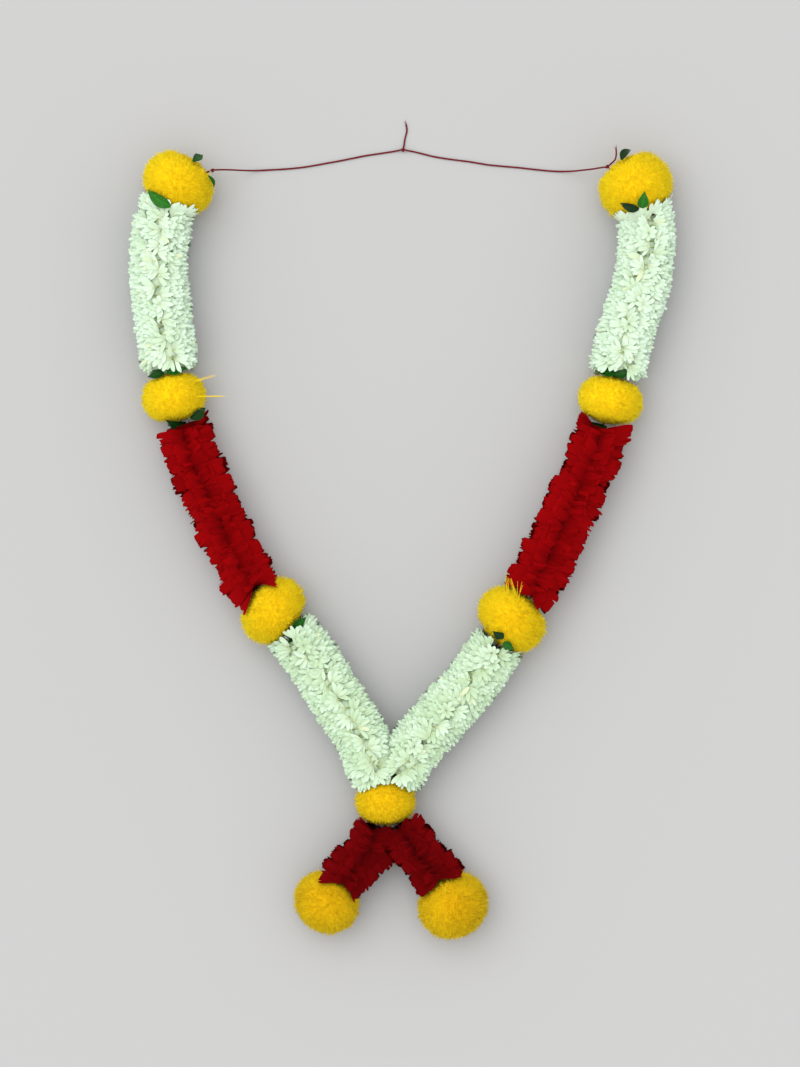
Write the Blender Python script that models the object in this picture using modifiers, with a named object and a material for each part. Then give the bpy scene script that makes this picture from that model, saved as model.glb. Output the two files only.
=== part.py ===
"""A festive garland of marigold pom-poms, white blossoms and red petals, strung on two threads.

The garland lies flat on a surface: +X to its right, +Y from the tassels towards the tie thread, and
+Z up. The origin is on the surface, under the middle of the garland. Each side's pieces are threaded,
one after the other, on a stringing thread that runs from its top head through the centre head to its
tassel. Sizes are in millimetres and are multiplied by MM where a shape is made.
"""

import math

import bmesh
import bpy
from mathutils import Quaternion, Vector

MM = 0.001
GAP = 0.3  # between pieces that touch
SINK = 2.0  # how far a soft piece is pressed flat by its own weight

THREAD_RADIUS = 0.75
BORE_RADIUS = 1.2
KNOT_RADIUS = 2.0
POCKET_RADIUS = 2.5
THREAD_STEP = 20.0  # between the points of the thread inside the strands
TIE_STEP = 4.2  # between the points of the free tie threads

# Pom-pom heads: centre x, centre y, diameter across the thread, thickness along it, and the
# direction in degrees, turning from +X towards +Y, in which the head is thin.
HEADS = {
    "top_left": (-179.7, 288.2, 57.0, 48.0, -125.0),
    "upper_left": (-183.5, 117.5, 50.0, 43.0, -80.0),
    "lower_left": (-103.8, -53.2, 56.0, 46.0, -38.0),
    "top_right": (186.2, 285.4, 58.0, 46.0, -58.0),
    "upper_right": (166.0, 115.2, 51.0, 42.0, -103.0),
    "lower_right": (86.9, -59.9, 57.0, 48.0, -134.0),
    "centre": (-14.1, -205.9, 47.0, 42.0, -90.0),
    "tassel_left": (-61.0, -286.5, 52.0, 48.0, -125.0),
    "tassel_right": (40.0, -288.7, 56.0, 52.0, -58.0),
}

# Strands between two heads of a side: name, diameter, number of bunches and the bends of its thread.
SIDES = {
    "left": {
        "heads": ("top_left", "upper_left", "lower_left", "centre", "tassel_left"),
        "strands": (
            ("white_blossoms_upper_left", 48.0, 4, ((-192, 257), (-196, 218), (-190, 168))),
            ("red_petals_left", 45.0, 4, ((-169, 70), (-148, 22), (-127, -21))),
            ("white_blossoms_lower_left", 45.0, 4, ((-74, -91), (-49, -130), (-31, -160))),
            ("red_petals_tassel_left", 41.0, 2, ((-25, -240), (-43, -264))),
        ),
        "end_knot": (-152.4, 298.8, 27.0),
        "leaves_turn": 20.0,
    },
    "right": {
        "heads": ("top_right", "upper_right", "lower_right", "centre", "tassel_right"),
        "strands": (
            ("white_blossoms_upper_right", 47.0, 4, ((195, 257), (192, 212), (178, 168))),
            ("red_petals_right", 46.0, 4, ((151, 68), (132, 24), (111, -22))),
            ("white_blossoms_lower_right", 45.0, 4, ((63, -101), (33, -136), (7, -166))),
            ("red_petals_tassel_right", 41.0, 2, ((4, -237), (22, -259))),
        ),
        "end_knot": (163.4, 301.6, 27.4),
        "leaves_turn": 55.0,
    },
}
THREADS_APART = 5.0  # the two threads inside the centre head

# The free tie threads, from each end knot down to the surface and along it to the knot between them.
TIE_KNOT = (0.0, 317.6, 2.2)
TIE_LEFT = (
    (-149.6, 299.2, 26.9),
    (-144.0, 299.6, 24.2),
    (-138.0, 299.9, 19.2),
    (-132.0, 300.2, 12.6),
    (-126.0, 300.5, 6.6),
    (-120.0, 300.8, 2.6),
    (-113.0, 301.2, 1.0),
    (-104.0, 301.7, 0.8),
    (-94.0, 302.3, 0.8),
    (-82.4, 303.4, 0.8),
    (-72.0, 305.0, 0.8),
    (-61.0, 307.0, 0.8),
    (-50.4, 308.9, 0.8),
    (-40.0, 311.0, 0.8),
    (-30.4, 312.9, 0.8),
    (-20.0, 314.5, 0.8),
    (-10.0, 316.0, 0.9),
    (-5.4, 316.8, 1.5),
    (-2.6, 317.3, 2.1),
)
TIE_RIGHT = (
    (160.6, 301.3, 27.1),
    (156.6, 300.9, 25.0),
    (151.5, 300.4, 20.6),
    (145.5, 300.3, 14.0),
    (139.5, 300.2, 7.4),
    (133.0, 300.2, 2.8),
    (126.0, 300.3, 1.0),
    (117.0, 300.8, 0.8),
    (106.0, 301.9, 0.8),
    (93.6, 303.3, 0.8),
    (80.0, 304.5, 0.8),
    (69.6, 305.5, 0.8),
    (62.0, 306.7, 0.8),
    (53.6, 308.1, 0.8),
    (45.0, 309.2, 0.8),
    (36.0, 310.4, 0.8),
    (25.6, 312.1, 0.8),
    (18.0, 313.9, 0.8),
    (10.0, 315.9, 0.9),
    (5.4, 316.8, 1.4),
    (2.6, 317.3, 2.1),
)
TIE_TAIL = (
    TIE_KNOT,
    (0.8, 321.5, 1.2),
    (1.7, 327.0, 0.8),
    (3.2, 333.4, 0.8),
    (2.4, 338.4, 0.8),
)
END_TAIL = (
    (163.4, 301.6, 27.4),
    (166.4, 304.2, 27.6),
    (169.6, 307.4, 27.4),
    (170.6, 312.0, 26.6),
    (170.4, 317.0, 25.6),
)

HEAD_STEPS = 12
HEAD_RINGS = 7
BUNCH_STEPS = 12
LEAVES = 4  # in each collar
LEAF_RINGS = (0.3, 0.52, 0.72)  # of the radius of the head that the collar hugs
LEAF_CLEARANCE = 1.3
LEAF_THICKNESS = 0.8
LEAF_ROOM = 2.0  # between a collar and the bunch beside it, on the thread
LEAF_WAIST = 0.4  # how far the collar's edge is cut in between two leaves

# A bunch from end to end, as (radius, distance along the thread), both from 0 to 1.
WHITE_OUTLINE = ((0.68, 0.8), (1.0, 0.5), (0.86, 0.0), (1.0, -0.5), (0.68, -0.8))
RED_OUTLINE = ((0.72, 0.8), (1.0, 0.5), (0.86, 0.0), (1.0, -0.5), (0.72, -0.8))
LOBE_DEPTH = 0.07

COLOURS = {
    "marigold_yellow": ((0.90, 0.58, 0.012), 0.9),
    "blossom_white": ((0.62, 0.78, 0.56), 0.6),
    "petal_red": ((0.30, 0.003, 0.004), 0.8),
    "tassel_red": ((0.15, 0.002, 0.003), 0.8),
    "leaf_green": ((0.02, 0.16, 0.015), 0.4),
    "thread_red": ((0.22, 0.004, 0.02), 0.7),
}


def clear_scene():
    for obj in list(bpy.data.objects):
        bpy.data.objects.remove(obj, do_unlink=True)


def new_collection(name):
    collection = bpy.data.collections.new(name)
    bpy.context.scene.collection.children.link(collection)
    return collection


def new_material(name):
    colour, roughness = COLOURS[name]
    material = bpy.data.materials.new(name)
    material.use_nodes = True
    shader = material.node_tree.nodes["Principled BSDF"]
    shader.inputs["Base Color"].default_value = (*colour, 1.0)
    shader.inputs["Roughness"].default_value = roughness
    shader.inputs["Metallic"].default_value = 0.0
    return material


clear_scene()
GARLAND = new_collection("marigold_garland")
CUTTERS = new_collection("cutters")
MATERIALS = {name: new_material(name) for name in COLOURS}
ROOT = bpy.data.objects.new("garland", None)
GARLAND.objects.link(ROOT)


def smooth_curve(knots, per_span=16):
    """A Catmull-Rom curve through the knots, as closely spaced points."""
    knots = [Vector(knot) for knot in knots]
    knots = [2 * knots[0] - knots[1], *knots, 2 * knots[-1] - knots[-2]]
    points = []
    for a, b, c, d in zip(knots, knots[1:], knots[2:], knots[3:]):
        for i in range(per_span):
            t = i / per_span
            bend = (2 * a - 5 * b + 4 * c - d) * t**2 + (3 * b - a - 3 * c + d) * t**3
            points.append(b + ((c - a) * t + bend) / 2)
    points.append(knots[-2])
    return points


class Route:
    """A smooth line through its knots, read by the distance along it."""

    def __init__(self, knots):
        self.points = smooth_curve(knots)
        self.reach = [0.0]
        for here, there in zip(self.points, self.points[1:]):
            self.reach.append(self.reach[-1] + (there - here).length)
        self.length = self.reach[-1]

    def at(self, distance):
        last = len(self.points) - 2
        i = next((i for i in range(last + 1) if distance <= self.reach[i + 1]), last)
        step = self.reach[i + 1] - self.reach[i]
        return self.points[i].lerp(self.points[i + 1], (distance - self.reach[i]) / step)

    def distance_to(self, place):
        nearest = min(range(len(self.points)), key=lambda i: (self.points[i] - place).length)
        return self.reach[nearest]

    def spaced(self, start, end, step):
        """Evenly spaced points from one distance to another."""
        count = max(2, round((end - start) / step) + 1)
        return [self.at(start + (end - start) * i / (count - 1)) for i in range(count)]


def add_object(name, data, slot, collection=GARLAND):
    obj = bpy.data.objects.new(name, data)
    collection.objects.link(obj)
    obj.parent = ROOT
    if slot:
        data.materials.append(MATERIALS[slot])
    if collection == CUTTERS:
        obj.hide_render = True
        obj.display_type = "WIRE"
    return obj


def place(obj, location, direction, turn=0.0):
    """Stand the object's own Z axis along the direction, turned about it by an angle in degrees."""
    direction = Vector(direction).normalized()
    obj.location = Vector(location) * MM
    obj.rotation_mode = "QUATERNION"
    upright = direction.to_track_quat("Z", "Y")
    obj.rotation_quaternion = Quaternion(direction, math.radians(turn)) @ upright


def evaluated_mesh(obj):
    """The object's mesh with its modifiers applied."""
    graph = bpy.context.evaluated_depsgraph_get()
    mesh = bpy.data.meshes.new_from_object(obj.evaluated_get(graph))
    bm = bmesh.new()
    bm.from_mesh(mesh)
    bmesh.ops.remove_doubles(bm, verts=bm.verts, dist=0.00001)
    bm.to_mesh(mesh)
    bm.free()
    return mesh


def turned_mesh(outline, steps):
    """A mesh turned about Z from an outline of (radius, height) points in mm, top to bottom."""
    bm = bmesh.new()
    corners = [bm.verts.new((radius * MM, 0.0, height * MM)) for radius, height in outline]
    for upper, lower in zip(corners, corners[1:]):
        bm.edges.new((upper, lower))
    profile = bpy.data.meshes.new("profile")
    bm.to_mesh(profile)
    bm.free()
    guide = add_object("profile", profile, None, CUTTERS)
    screw = guide.modifiers.new("turn", "SCREW")
    screw.steps = screw.render_steps = steps
    screw.use_merge_vertices = True
    screw.merge_threshold = 0.00001
    mesh = evaluated_mesh(guide)
    bpy.data.objects.remove(guide)
    mesh.shade_smooth()
    mesh.set_sharp_from_angle(angle=math.radians(50))
    return mesh


def tube(name, points, radius, slot=None, collection=GARLAND):
    """A round tube with closed ends through the points."""
    curve = bpy.data.curves.new(name, "CURVE")
    curve.dimensions = "3D"
    curve.bevel_depth = radius * MM
    curve.bevel_resolution = 2
    curve.use_fill_caps = True
    spline = curve.splines.new("POLY")
    spline.points.add(len(points) - 1)
    for spot, point in zip(spline.points, points):
        spot.co = (*(Vector(point) * MM), 1.0)
    return add_object(name, curve, slot, collection)


def meshed(curve_object, slot=None):
    """The same tube as a mesh object, for cutting or joining."""
    name, collection = curve_object.name, curve_object.users_collection[0]
    mesh = evaluated_mesh(curve_object)
    bpy.data.objects.remove(curve_object)
    return add_object(name, mesh, slot, collection)


def block(name, low, high):
    """A box-shaped cutter between two corners in mm."""
    bpy.ops.mesh.primitive_cube_add(size=1.0)
    obj = bpy.context.object
    obj.name = name
    for other in obj.users_collection:
        other.objects.unlink(obj)
    CUTTERS.objects.link(obj)
    size = [b - a for a, b in zip(low, high)]
    for vertex in obj.data.vertices:
        vertex.co = [(a + s * (c + 0.5)) * MM for a, s, c in zip(low, size, vertex.co)]
    obj.hide_render = True
    obj.display_type = "WIRE"
    return obj


def ball(name, centre, radii, slot=None, collection=GARLAND):
    """An ellipsoid, its radii along X, Y and Z in mm."""
    mesh = bpy.data.meshes.new(name)
    bm = bmesh.new()
    bmesh.ops.create_uvsphere(bm, u_segments=10, v_segments=6, radius=1.0)
    bmesh.ops.scale(bm, vec=[radius * MM for radius in radii], verts=bm.verts)
    bm.to_mesh(mesh)
    bm.free()
    mesh.shade_smooth()
    obj = add_object(name, mesh, slot, collection)
    obj.location = Vector(centre) * MM
    return obj


def boolean(obj, other, operation="DIFFERENCE"):
    modifier = obj.modifiers.new(other.name, "BOOLEAN")
    modifier.operation = operation
    modifier.object = other


def heading(degrees):
    return Vector((math.cos(math.radians(degrees)), math.sin(math.radians(degrees)), 0.0))


def head_centre(name):
    """Heads rest on the surface, a little flattened under them."""
    x, y, across, _, _ = HEADS[name]
    return Vector((x, y, across / 2 - SINK))


def head_depth(name, direction):
    """The distance from the centre of a head to its skin, in a direction."""
    _, _, across, along, degrees = HEADS[name]
    part = heading(degrees).dot(direction.normalized())
    return 1 / math.sqrt((2 * part / along) ** 2 + (1 - part**2) * (2 / across) ** 2)


def head_normal(name, direction):
    """The way that a head's skin faces where a line from its centre comes out of it."""
    _, _, across, along, degrees = HEADS[name]
    axis = heading(degrees)
    lengthwise = axis * axis.dot(direction)
    return (lengthwise / along**2 + (direction - lengthwise) / across**2).normalized()


def side_route(side):
    """The line that a side's thread follows, from its end knot to its tassel knot."""
    layout = SIDES[side]
    sign = -1 if side == "left" else 1
    knots = [Vector(layout["end_knot"])]
    for i, name in enumerate(layout["heads"]):
        centre = head_centre(name)
        if name == "centre":
            centre.x += sign * THREADS_APART / 2
        knots.append(centre)
        if i < len(layout["strands"]):
            _, across, _, bends = layout["strands"][i]
            knots += [Vector((x, y, across / 2 - SINK)) for x, y in bends]
    tassel = layout["heads"][-1]
    outward = heading(HEADS[tassel][-1])
    knots.append(head_centre(tassel) + outward * head_depth(tassel, outward))
    return Route(knots)


def add_head(name, cutters):
    """A pom-pom of cut fibre, a ball flattened along its thread."""
    _, _, across, along, degrees = HEADS[name]
    outline = []
    for i in range(HEAD_RINGS + 1):
        angle = math.pi * i / HEAD_RINGS
        outline.append((across / 2 * math.sin(angle), along / 2 * math.cos(angle)))
    outline[0] = (0.0, along / 2)
    outline[-1] = (0.0, -along / 2)
    obj = add_object("marigold_" + name, turned_mesh(outline, HEAD_STEPS), "marigold_yellow")
    place(obj, head_centre(name), heading(degrees), turn=90 / HEAD_STEPS)
    for cutter in cutters:
        boolean(obj, cutter)


def add_bunch(name, start, end, across, outline, slot, cutters):
    """One bunch of a strand: a turned body with its rows of petals as shallow lobes."""
    half = ((end - start).length - GAP) / 2
    points = [(radius * across / 2, height * half) for radius, height in outline]
    mesh = turned_mesh([(0.0, half), *points, (0.0, -half)], BUNCH_STEPS)
    for vertex in mesh.vertices:
        angle = math.atan2(vertex.co.y, vertex.co.x)
        row = 1 if vertex.co.z > 0 else -1
        swell = 1 + LOBE_DEPTH * row * math.cos(angle * BUNCH_STEPS / 2)
        vertex.co.x *= swell
        vertex.co.y *= swell
    obj = add_object(name, mesh, slot)
    place(obj, (start + end) / 2, end - start)
    for cutter in cutters:
        boolean(obj, cutter)


def add_leaves(name, head, direction, turn, cutters):
    """A collar of leaves on the thread, bent back over the head that it touches."""
    radius = HEADS[head][2] / 2
    depth = head_depth(head, direction)

    def fall(share):
        """How far the head's skin falls back, at a share of its radius from the thread."""
        return depth * (1 - math.sqrt(1 - share**2))

    lower = [(share * radius, LEAF_CLEARANCE - fall(share)) for share in (0.0, *LEAF_RINGS)]
    upper = [(reach, height + LEAF_THICKNESS) for reach, height in lower]
    mesh = turned_mesh([*upper, *reversed(lower)], LEAVES * 3)
    for vertex in mesh.vertices:
        angle = math.atan2(vertex.co.y, vertex.co.x)
        share = vertex.co.xy.length / (radius * MM)
        outward = max(0.0, (share - LEAF_RINGS[0]) / (LEAF_RINGS[-1] - LEAF_RINGS[0]))
        waist = 1 - LEAF_WAIST * outward * (1 - math.cos(LEAVES * angle)) / 1.5
        vertex.co.x *= waist
        vertex.co.y *= waist
        vertex.co.z += (fall(share) - fall(share * waist)) * MM
    obj = add_object(name, mesh, "leaf_green")
    spot = head_centre(head) + direction.normalized() * depth
    place(obj, spot, head_normal(head, direction), turn)
    for cutter in cutters:
        boolean(obj, cutter)


def add_side(side, floor, halves, seat, bores):
    """Everything on one side's thread except the centre head and its leaves."""
    layout = SIDES[side]
    route = ROUTES[side]
    bore = bores[side]
    turn = layout["leaves_turn"]
    reach = [route.distance_to(head_centre(name)) for name in layout["heads"]]
    for i, (strand, across, count, _) in enumerate(layout["strands"]):
        upper, lower = layout["heads"][i], layout["heads"][i + 1]
        room = LEAF_CLEARANCE + LEAF_THICKNESS + LEAF_ROOM
        start = reach[i] + HEADS[upper][3] / 2 + room
        end = reach[i + 1] - HEADS[lower][3] / 2 - room
        white = strand.startswith("white")
        outline = WHITE_OUTLINE if white else RED_OUTLINE
        slot = "blossom_white" if white else "tassel_red" if "tassel" in strand else "petal_red"
        for k in range(count):
            near = route.at(start + (end - start) * k / count)
            far = route.at(start + (end - start) * (k + 1) / count)
            cutters = [floor, bore]
            if "centre" in (upper, lower):
                cutters += [halves[side], seat]
            add_bunch(f"{strand}_{k + 1}", near, far, across, outline, slot, cutters)
        for name, sign, place_name in ((upper, 1, "inner"), (lower, -1, "outer")):
            if name == "centre" or name.startswith("tassel"):
                continue
            leaf = f"leaves_{name}_{place_name}"
            spot = route.at(route.distance_to(head_centre(name)) + sign * HEADS[name][3] / 2)
            add_leaves(leaf, name, spot - head_centre(name), turn, [floor, bore])
    top = layout["heads"][0]
    outward = Vector(layout["end_knot"]) - head_centre(top)
    add_leaves(f"leaves_{top}_outer", top, outward, turn, [floor, bore])


def add_knot(name, centre, tail=None):
    """A tied knot of thread, with a loose end if it has a tail."""
    radii = (KNOT_RADIUS, KNOT_RADIUS, KNOT_RADIUS)
    knot = ball(name, centre, radii, "thread_red")
    if tail:
        loose = Route(tail)
        points = loose.spaced(0.0, loose.length, TIE_STEP)
        boolean(knot, meshed(tube(name + "_tail", points, THREAD_RADIUS, None, CUTTERS)), "UNION")


ROUTES = {side: side_route(side) for side in SIDES}


def build():
    floor = block("surface", (-400, -500, -60), (400, 500, 0))
    middle = HEADS["centre"][0]
    halves = {
        "left": block("right_half", (middle - GAP / 2, -500, -20), (400, 500, 100)),
        "right": block("left_half", (-400, -500, -20), (middle + GAP / 2, 500, 100)),
    }
    _, _, across, along, _ = HEADS["centre"]
    clear = LEAF_CLEARANCE + LEAF_THICKNESS + 2 * GAP
    radii = (across / 2 + 2 * GAP, along / 2 + clear, across / 2 + 2 * GAP)
    seat = ball("seat", head_centre("centre"), radii, None, CUTTERS)

    bores, pockets = {}, {}
    end_gap = KNOT_RADIUS + GAP
    for side, route in ROUTES.items():
        inside = route.spaced(end_gap, route.length - end_gap, THREAD_STEP)
        tube("stringing_thread_" + side, inside, THREAD_RADIUS, "thread_red")
        whole = [route.points[0], *inside, route.points[-1]]
        bores[side] = meshed(tube("bore_" + side, whole, BORE_RADIUS, None, CUTTERS))
        tassel_knot = route.points[-1]
        add_knot("tassel_knot_" + side, tassel_knot)
        radii = (POCKET_RADIUS, POCKET_RADIUS, POCKET_RADIUS)
        pockets[side] = ball("pocket_" + side, tassel_knot, radii, None, CUTTERS)

    for side in SIDES:
        add_side(side, floor, halves, seat, bores)
        for name in SIDES[side]["heads"]:
            if name == "centre":
                continue
            pocket = [pockets[side]] if name.startswith("tassel") else []
            add_head(name, [floor, bores[side], *pocket])
    add_head("centre", [floor, *bores.values()])
    axis = heading(HEADS["centre"][4])
    add_leaves("leaves_centre_upper", "centre", -axis, 30.0, [floor, *bores.values()])
    add_leaves("leaves_centre_lower", "centre", axis, 30.0, [floor, *bores.values()])

    add_knot("end_knot_left", SIDES["left"]["end_knot"])
    add_knot("end_knot_right", SIDES["right"]["end_knot"], END_TAIL)
    add_knot("tie_knot", TIE_KNOT, TIE_TAIL)
    for side, points in (("left", TIE_LEFT), ("right", TIE_RIGHT)):
        free = Route(points)
        tube("tie_thread_" + side, free.spaced(0.0, free.length, TIE_STEP), THREAD_RADIUS, "thread_red")


build()
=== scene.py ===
"""The looks of the marigold garland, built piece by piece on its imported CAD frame.

Lengths are in mm until a mesh is made. Every petal, tuft and leaf is a small
grid of points, and a piece is one mesh of many such grids.
"""

import math
from itertools import product
from types import SimpleNamespace

import bpy
import numpy as np
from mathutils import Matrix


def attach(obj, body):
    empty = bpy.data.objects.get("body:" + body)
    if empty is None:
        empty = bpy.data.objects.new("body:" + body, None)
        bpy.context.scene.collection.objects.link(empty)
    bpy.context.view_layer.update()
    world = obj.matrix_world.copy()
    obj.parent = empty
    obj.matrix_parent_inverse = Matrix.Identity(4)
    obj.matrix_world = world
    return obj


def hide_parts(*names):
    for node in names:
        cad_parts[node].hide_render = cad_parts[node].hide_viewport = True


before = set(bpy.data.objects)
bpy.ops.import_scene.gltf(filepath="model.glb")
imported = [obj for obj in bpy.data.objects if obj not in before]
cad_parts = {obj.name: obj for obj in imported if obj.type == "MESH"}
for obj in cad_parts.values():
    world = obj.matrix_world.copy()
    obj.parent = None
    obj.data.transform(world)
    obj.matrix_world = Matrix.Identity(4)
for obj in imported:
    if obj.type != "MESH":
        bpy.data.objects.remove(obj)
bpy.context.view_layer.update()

MM = 0.001

# The garland's layout, as in the CAD model.
SINK = 2.0  # how far heads and strands are flattened by their own weight
THREADS_APART = 5.0
HEADS = {  # x, y, diameter across the thread, thickness along it, its heading in degrees
    "top_left": (-179.7, 288.2, 57, 48, -125),
    "upper_left": (-183.5, 117.5, 50, 43, -80),
    "lower_left": (-103.8, -53.2, 56, 46, -38),
    "top_right": (186.2, 285.4, 58, 46, -58),
    "upper_right": (166.0, 115.2, 51, 42, -103),
    "lower_right": (86.9, -59.9, 57, 48, -134),
    "centre": (-14.1, -205.9, 47, 42, -90),
    "tassel_left": (-61.0, -286.5, 52, 48, -125),
    "tassel_right": (40.0, -288.7, 56, 52, -58),
}
FULLNESS = {"top_right": 1.2, "top_left": 1.04}  # of a head's loose pile along its thread
SIDES = {  # a strand is its name, diameter, number of bunches and the bends of its thread
    "left": {
        "heads": ("top_left", "upper_left", "lower_left", "centre", "tassel_left"),
        "strands": (
            ("white_blossoms_upper_left", 48, 4, ((-192, 257), (-196, 218), (-190, 168))),
            ("red_petals_left", 45, 4, ((-169, 70), (-148, 22), (-127, -21))),
            ("white_blossoms_lower_left", 45, 4, ((-74, -91), (-49, -130), (-31, -160))),
            ("red_petals_tassel_left", 41, 2, ((-25, -240), (-43, -264))),
        ),
        "end_knot": (-152.4, 298.8, 27.0),
    },
    "right": {
        "heads": ("top_right", "upper_right", "lower_right", "centre", "tassel_right"),
        "strands": (
            ("white_blossoms_upper_right", 47, 4, ((195, 257), (192, 212), (178, 168))),
            ("red_petals_right", 46, 4, ((151, 68), (132, 24), (111, -22))),
            ("white_blossoms_lower_right", 45, 4, ((63, -101), (33, -136), (7, -166))),
            ("red_petals_tassel_right", 41, 2, ((4, -237), (22, -259))),
        ),
        "end_knot": (163.4, 301.6, 27.4),
    },
}
COLLAR_CLEARANCE, COLLAR_THICKNESS, COLLAR_ROOM = 1.3, 0.8, 2.0
STRAND_GAP = COLLAR_CLEARANCE + COLLAR_THICKNESS + COLLAR_ROOM  # from a head to a strand
MIDDLE_X = -14.1  # where the two lower white strands meet

TIE_KNOT = (0.0, 317.6, 2.2)
TIE_THREADS = {
    "left": (
        (-149.6, 299.2, 26.9), (-144.0, 299.6, 24.2), (-138.0, 299.9, 19.2),
        (-132.0, 300.2, 12.6), (-126.0, 300.5, 6.6), (-120.0, 300.8, 2.6),
        (-113.0, 301.2, 1.0), (-104.0, 301.7, 0.8), (-94.0, 302.3, 0.8),
        (-82.4, 303.4, 0.8), (-72.0, 305.0, 0.8), (-61.0, 307.0, 0.8),
        (-50.4, 308.9, 0.8), (-40.0, 311.0, 0.8), (-30.4, 312.9, 0.8),
        (-20.0, 314.5, 0.8), (-10.0, 316.0, 0.9), (-5.4, 316.8, 1.5),
        (-2.6, 317.3, 2.1),
    ),
    "right": (
        (160.6, 301.3, 27.1), (156.6, 300.9, 25.0), (151.5, 300.4, 20.6),
        (145.5, 300.3, 14.0), (139.5, 300.2, 7.4), (133.0, 300.2, 2.8),
        (126.0, 300.3, 1.0), (117.0, 300.8, 0.8), (106.0, 301.9, 0.8),
        (93.6, 303.3, 0.8), (80.0, 304.5, 0.8), (69.6, 305.5, 0.8),
        (62.0, 306.7, 0.8), (53.6, 308.1, 0.8), (45.0, 309.2, 0.8),
        (36.0, 310.4, 0.8), (25.6, 312.1, 0.8), (18.0, 313.9, 0.8),
        (10.0, 315.9, 0.9), (5.4, 316.8, 1.4), (2.6, 317.3, 2.1),
    ),
}
TIE_TAIL = (TIE_KNOT, (0.8, 321.5, 1.2), (1.7, 327.0, 0.8), (3.2, 333.4, 0.8), (2.4, 338.4, 0.8))
END_TAIL = (
    (163.4, 301.6, 27.4), (166.4, 304.2, 27.6), (169.6, 307.4, 27.4),
    (170.6, 312.0, 26.6), (170.4, 317.0, 25.6),
)

UP = np.array([0.0, 0.0, 1.0])


# ---------------------------------------------------------------- geometry helpers

SPAN_STEPS = 16  # points between two knots of a smooth curve
HEADING_REACH = 3.0  # how far before and after a place its heading is read


def unit(v):
    return v / np.maximum(np.linalg.norm(v, axis=-1, keepdims=True), 1e-9)


def smoothstep(low, high, x):
    t = np.clip((x - low) / (high - low), 0, 1)
    return t * t * (3 - 2 * t)


def dice(name):
    """A random generator of the piece's own."""
    return np.random.default_rng(list(name.encode()))


def smooth_curve(knots):
    """A Catmull-Rom curve through the knots, as closely spaced points."""
    knots = np.array(knots, float)
    knots = np.vstack([2 * knots[0] - knots[1], knots, 2 * knots[-1] - knots[-2]])
    a, b, c, d = (knots[i : len(knots) - 3 + i, None] for i in range(4))
    t = (np.arange(SPAN_STEPS) / SPAN_STEPS)[None, :, None]
    bend = (2 * a - 5 * b + 4 * c - d) * t**2 + (3 * b - a - 3 * c + d) * t**3
    points = (b + ((c - a) * t + bend) / 2).reshape(-1, 3)
    return np.vstack([points, knots[-2]])


def reach_along(points):
    """The distance along a line to each of its points."""
    steps = np.linalg.norm(np.diff(points, axis=0), axis=1)
    return np.concatenate([[0.0], np.cumsum(steps)])


class Route:
    """A smooth line through its knots, read by the distance along it."""

    def __init__(self, knots):
        self.points = smooth_curve(knots)
        self.reach = reach_along(self.points)
        self.length = self.reach[-1]

    def at(self, s):
        return np.stack([np.interp(s, self.reach, self.points[:, i]) for i in range(3)], -1)

    def heading(self, s):
        return unit(self.at(s + HEADING_REACH) - self.at(s - HEADING_REACH))

    def distance_to(self, place):
        return self.reach[np.linalg.norm(self.points - place, axis=1).argmin()]


def head_centre(name):
    x, y, across, _, _ = HEADS[name]
    return np.array([x, y, across / 2 - SINK])


def head_axes(name):
    """The head's axes, along its thread, across it and up, as rows."""
    angle = math.radians(HEADS[name][-1])
    c, s = math.cos(angle), math.sin(angle)
    return np.array([[c, s, 0.0], [-s, c, 0.0], [0.0, 0.0, 1.0]])


def head_radii(name):
    _, _, across, along, _ = HEADS[name]
    return np.array([along * FULLNESS.get(name, 1.0), across, across]) / 2


def outside(points, name, clearance):
    """The points, pushed straight out of a head to at least this far from its skin."""
    axes, radii = head_axes(name), head_radii(name)
    local = (points - head_centre(name)) @ axes.T
    share = np.linalg.norm(local / radii, axis=-1, keepdims=True)
    skin = np.linalg.norm(local, axis=-1, keepdims=True) / share
    pushed = local * np.maximum(1.0, (1 + clearance / skin) / share)
    return head_centre(name) + pushed @ axes


def over(points, name, clearance):
    """The points, with those inside a head's upper half lifted onto it."""
    centre, axes = head_centre(name), head_axes(name)
    radii = head_radii(name) + clearance
    local = (points - centre) @ axes.T / radii
    room = 1 - local[..., 0] ** 2 - local[..., 1] ** 2
    top = centre[2] + radii[2] * np.sqrt(np.maximum(room, 0))
    lift = (room > 0) & (local[..., 2] > 0)
    points[..., 2] = np.where(lift, np.maximum(points[..., 2], top), points[..., 2])
    return points


def over_head(x, y, name):
    """The height of a head's upper skin, or of its middle beside the head."""
    centre = head_centre(name)
    local = head_axes(name) @ (np.array([x, y, centre[2]]) - centre)
    radii = head_radii(name)
    inside = 1 - (local[0] / radii[0]) ** 2 - (local[1] / radii[1]) ** 2
    return centre[2] + radii[2] * math.sqrt(max(inside, 0.02))


def side_route(side):
    """The line that a side's thread follows, from its end knot to its tassel knot."""
    layout = SIDES[side]
    sign = -1 if side == "left" else 1
    knots = [layout["end_knot"]]
    for i, name in enumerate(layout["heads"]):
        centre = head_centre(name)
        if name == "centre":
            centre[0] += sign * THREADS_APART / 2
        knots.append(centre)
        if i < len(layout["strands"]):
            _, across, _, bends = layout["strands"][i]
            knots += [(x, y, across / 2 - SINK) for x, y in bends]
    tassel = layout["heads"][-1]
    knots.append(head_centre(tassel) + head_axes(tassel)[0] * head_radii(tassel)[0])
    return Route(knots)


def spread(count):
    """Evenly spread directions."""
    i = np.arange(count) + 0.5
    z = 1 - 2 * i / count
    turn = i * math.pi * (3 - math.sqrt(5))
    flat = np.sqrt(1 - z * z)
    return np.stack([flat * np.cos(turn), flat * np.sin(turn), z], -1)


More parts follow.
